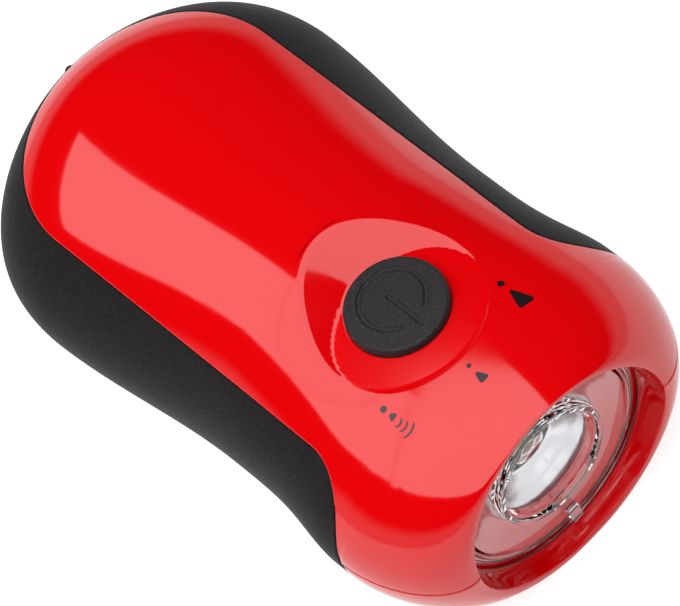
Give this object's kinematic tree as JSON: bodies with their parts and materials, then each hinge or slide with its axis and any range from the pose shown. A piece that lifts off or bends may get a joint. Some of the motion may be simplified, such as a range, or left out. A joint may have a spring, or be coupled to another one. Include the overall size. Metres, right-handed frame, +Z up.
{
  "type": "hand crank flashlight",
  "caption": "Palm-sized dynamo torch: glossy red shells in a black grip band, recessed lens, push button, and a fold-out crank driving a geared generator.",
  "frame": {"origin": "centre of the bounding box in X and Y, at the underside that the torch rests on", "axes": "+Z up from the underside to the button side, +Y from the lens to the tail, +X across the width"},
  "size_m": [0.0604, 0.1032, 0.0418],
  "materials": {
    "red_shell": "polished red ABS",
    "grip": "matt soft-touch coating",
    "button_rubber": "fine matt rubber",
    "lens": "clear moulded acrylic",
    "reflector": "bright metallised",
    "led_epoxy": "clear epoxy",
    "board": "green solder mask",
    "black_plastic": "fine textured black ABS",
    "nylon": "natural nylon",
    "steel": "zinc plated",
    "stator_steel": "pressed and tinned",
    "brass": "turned",
    "copper": "enamelled copper wire",
    "magnet": "plastic-bonded ferrite",
    "battery_sleeve": "shrink sleeve",
    "wire_red": "wire insulation",
    "wire_black": "wire insulation"
  },
  "bodies": {
    "housing": {"top_shell": "red_shell", "bottom_shell": "red_shell", "grip_band": "grip", "lanyard_pin": "black_plastic", "lens": "lens", "reflector": "reflector", "led": "led_epoxy", "led_board": "board", "switch_body": "black_plastic", "circuit_board": "board", "battery_pack": "battery_sleeve", "led_wire_black": "wire_black", "battery_wire_black": "wire_black", "generator_wire_black": "wire_black", "led_wire_red": "wire_red", "battery_wire_red": "wire_red", "generator_wire_red": "wire_red", "shaft_bush": "brass", "gear_plate": "black_plastic", "gear_bridge": "black_plastic", "idler_pin_1": "steel", "idler_pin_2": "steel", "stator_lower": "stator_steel", "stator_upper": "stator_steel", "coil_bobbin": "black_plastic", "coil_winding": "copper", "shell_screw_1": "steel", "shell_screw_2": "steel", "shell_screw_3": "steel", "shell_screw_4": "steel", "plate_screw_1": "steel", "plate_screw_2": "steel", "plate_screw_3": "steel", "plate_screw_4": "steel", "bridge_screw_1": "steel", "bridge_screw_2": "steel", "bridge_screw_3": "steel", "bridge_screw_4": "steel", "board_screw_1": "steel", "board_screw_2": "steel"},
    "crank": {"crank_disc": "black_plastic", "hinge_pin": "steel", "crank_shaft": "steel", "crank_screw": "steel", "drive_gear": "nylon", "shaft_clip": "steel"},
    "arm": {"crank_arm": "black_plastic", "knob_pin": "steel"},
    "knob": {"crank_knob": "black_plastic"},
    "idler_1": {"idler_gear_1": "nylon"},
    "idler_2": {"idler_gear_2": "nylon"},
    "rotor": {"magnet_rotor": "magnet", "rotor_shaft": "steel", "rotor_pinion": "brass"},
    "button": {"power_button": "button_rubber"},
    "plunger": {"switch_plunger": "nylon"}
  },
  "joints": [
    {"name": "crank_spin", "type": "hinge", "parent": "housing", "child": "crank", "pos_m": [0, 0.01941, 0.0002], "axis": [0, 0, 1], "continuous": true},
    {"name": "arm_fold", "type": "hinge", "parent": "crank", "child": "arm", "pos_m": [0, 0.03591, 0.0017], "axis": [1, 0, 0], "range_deg": [0, 180]},
    {"name": "knob_spin", "type": "hinge", "parent": "arm", "child": "knob", "pos_m": [0, 0.00991, 0.0069], "axis": [0, 0, 1], "continuous": true},
    {"name": "idler_1_spin", "type": "hinge", "parent": "housing", "child": "idler_1", "pos_m": [0.01, 0.00209, 0.019], "axis": [0, 0, 1], "continuous": true},
    {"name": "idler_2_spin", "type": "hinge", "parent": "housing", "child": "idler_2", "pos_m": [-0.00591, 0.0004, 0.0223], "axis": [0, 0, 1], "continuous": true},
    {"name": "rotor_spin", "type": "hinge", "parent": "housing", "child": "rotor", "pos_m": [0, -0.01339, 0.0251], "axis": [0, 0, 1], "continuous": true},
    {"name": "button_press", "type": "slide", "parent": "housing", "child": "button", "axis": [0, 0, -1], "range_m": [0, 0.0006], "stiffness_N_per_m": 800},
    {"name": "plunger_press", "type": "slide", "parent": "housing", "child": "plunger", "axis": [0, 0, -1], "range_m": [0, 0.0006]}
  ],
  "couplings": [
    {"joint": "idler_1_spin", "follows": "crank_spin", "ratio": -4},
    {"joint": "idler_2_spin", "follows": "crank_spin", "ratio": 12},
    {"joint": "rotor_spin", "follows": "crank_spin", "ratio": -24},
    {"joint": "plunger_press", "follows": "button_press", "ratio": 1}
  ]
}
